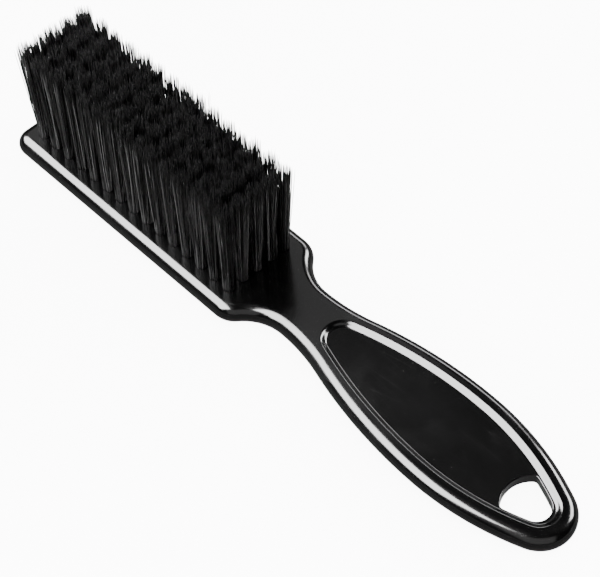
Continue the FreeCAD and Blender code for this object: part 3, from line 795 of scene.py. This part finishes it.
# -------------------------------------------------------------------------------- the studio
FLOOR_RADIUS = 1.4
WALL_HEIGHT = 0.75
SWEEP_RADIUS = 0.4  # the curve between floor and wall
SWEEP_STEPS = 12
STUDIO_SIDES = 96
OPENING = math.radians(195), math.radians(262)  # the wall's gap, as angles from +X
CARD_GLOW = 0.4
CARD_GAP = 0.002  # below the floor
WORLD_GLOW = 0.05
WHITE = (1.0, 1.0, 1.0, 1.0)
BLACK = (0.0, 0.0, 0.0, 1.0)


def build_studio():
    """A pale floor that sweeps up into a low wall, open toward the brush's near left side."""
    material, tree, shader = new_material("studio_paper")
    grain = add_node(tree, "ShaderNodeTexNoise", scale=3.0, detail=6.0)
    tree.links.new(mapped(tree), grain.inputs["Vector"])
    colour = ramp(tree, grain.outputs["Fac"], [(0.2, 0.87), (0.8, 0.90)])
    tree.links.new(colour, shader.inputs["Base Color"])
    shader.inputs["Roughness"].default_value = 0.9
    shader.inputs["Specular IOR Level"].default_value = 0.1

    profile = [(0.0, 0.0), (FLOOR_RADIUS / 2, 0.0)]
    for part in range(SWEEP_STEPS + 1):
        angle = part / SWEEP_STEPS * math.pi / 2
        across = FLOOR_RADIUS - SWEEP_RADIUS + SWEEP_RADIUS * math.sin(angle)
        profile.append((across, SWEEP_RADIUS * (1 - math.cos(angle))))
    profile.append((FLOOR_RADIUS, WALL_HEIGHT))
    points, faces = [], []
    for across, up in profile:
        for side in range(STUDIO_SIDES):
            angle = math.tau * side / STUDIO_SIDES
            points.append((across * math.cos(angle), across * math.sin(angle), up))
    for ring in range(len(profile) - 1):
        for side in range(STUDIO_SIDES):
            angle = math.tau * (side + 0.5) / STUDIO_SIDES
            if profile[ring][1] > 0 and OPENING[0] < angle < OPENING[1]:
                continue
            after = (side + 1) % STUDIO_SIDES
            corners = (ring, side), (ring, after), (ring + 1, after), (ring + 1, side)
            faces.append([r * STUDIO_SIDES + s for r, s in corners])
    mesh = bpy.data.meshes.new("studio_sweep")
    mesh.from_pydata(points, [], faces)
    mesh.polygons.foreach_set("use_smooth", [True] * len(faces))
    mesh.materials.append(material)
    sweep = bpy.data.objects.new("studio_sweep", mesh)
    bpy.context.scene.collection.objects.link(sweep)
    STUDIO.objects.link(sweep)
    sweep.visible_glossy = False


def build_bounce_card():
    """A dim glowing card under the floor. Only mirror reflections see it, in the floor's place."""
    material, tree, shader = new_material("bounce_card")
    shader.inputs["Base Color"].default_value = BLACK
    shader.inputs["Emission Color"].default_value = WHITE
    shader.inputs["Emission Strength"].default_value = CARD_GLOW
    signs = (-1, -1), (1, -1), (1, 1), (-1, 1)
    corners = [(x * FLOOR_RADIUS, y * FLOOR_RADIUS, -CARD_GAP) for x, y in signs]
    mesh = bpy.data.meshes.new("bounce_card")
    mesh.from_pydata(corners, [], [(0, 1, 2, 3)])
    mesh.materials.append(material)
    card = bpy.data.objects.new("bounce_card", mesh)
    bpy.context.scene.collection.objects.link(card)
    card.visible_camera = card.visible_diffuse = card.visible_shadow = False


def add_light(name, direction, distance, size, radiance, lit, shading=None):
    """A soft box that faces the brush, of this radiance in watts per steradian and m2.

    It falls on the objects in the collection lit. Where shading names a collection, only
    the objects in that one cast its shadows.
    """
    lamp = bpy.data.lights.new(name, "AREA")
    lamp.shape = "RECTANGLE"
    lamp.size, lamp.size_y = size
    lamp.energy = radiance * math.pi * size[0] * size[1]
    light = bpy.data.objects.new(name, lamp)
    away = Vector(direction).normalized()
    light.location = away * distance
    light.rotation_euler = away.to_track_quat("Z", "Y").to_euler()
    bpy.context.scene.collection.objects.link(light)
    light.light_linking.receiver_collection = lit
    light.light_linking.blocker_collection = shading


def build_lights():
    """The key light, two fills, three lights seen in the gloss, and one for the paper.

    After each name come the direction to it, its distance and its two sides in metres, its
    radiance and what it lights.
    """
    add_light("key_strip", (-0.45, -0.46, 0.75), 1.1, (1.5, 0.87), 60.0, BRUSH)
    add_light("body_fill", (0.75, -0.55, 0.5), 1.6, (2.2, 1.4), 1.2, BRUSH)
    add_light("bristle_fill", (0.9, -0.4, 0.22), 1.6, (2.0, 0.6), 8.0, BRISTLES)
    add_light("back_left", (-0.60, 0.37, 0.71), 1.3, (0.6, 0.75), 0.95, BRUSH)
    add_light("back_strip", (-0.45, 0.8, 0.45), 1.3, (0.7, 0.25), 14.0, BRUSH)
    add_light("tip_light", (0.2, 0.82, 0.53), 1.2, (0.8, 0.4), 50.0, BRUSH)
    add_light("paper_light", (0.1, -0.1, 1.0), 1.8, (2.6, 2.6), 30.0, STUDIO, STUDIO)
    world = bpy.data.worlds.new("studio")
    world.use_nodes = True
    world.node_tree.nodes["Background"].inputs["Color"].default_value = WHITE
    world.node_tree.nodes["Background"].inputs["Strength"].default_value = WORLD_GLOW
    bpy.context.scene.world = world


# -------------------------------------------------------------------------------- the camera
CAMERA_AZIMUTH = math.radians(46.61)
CAMERA_ELEVATION = math.radians(53.02)
CAMERA_ROLL = math.radians(-0.30)
CAMERA_LENS = 151.5  # millimetres
CAMERA_SENSOR = 36.0
CAMERA_POSITION = Vector((0.26872, -0.25298, 0.50253))


def build_camera():
    data = bpy.data.cameras.new("camera")
    data.lens = CAMERA_LENS
    data.sensor_width = CAMERA_SENSOR
    camera = bpy.data.objects.new("camera", data)
    level = math.cos(CAMERA_ELEVATION)
    back = Vector((
        math.sin(CAMERA_AZIMUTH) * level,
        -math.cos(CAMERA_AZIMUTH) * level,
        math.sin(CAMERA_ELEVATION),
    ))
    camera.location = CAMERA_POSITION
    turn = back.to_track_quat("Z", "Y").to_matrix() @ Matrix.Rotation(CAMERA_ROLL, 3, "Z")
    camera.rotation_euler = turn.to_euler()
    bpy.context.scene.collection.objects.link(camera)
    bpy.context.scene.camera = camera


BRUSH = bpy.data.collections.new("brush")
BRISTLES = bpy.data.collections.new("bristles")
STUDIO = bpy.data.collections.new("studio")
build_camera()
build_studio()
build_bounce_card()
build_lights()
build_moulding()
FILAMENT = nylon()
for row_number, row_node in enumerate(TUFT_ROWS):
    build_tuft_row(row_number, row_node, FILAMENT)
WIRE = wire()
for anchor_node in ANCHOR_ROWS:
    for material_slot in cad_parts[anchor_node].material_slots:
        material_slot.material = WIRE
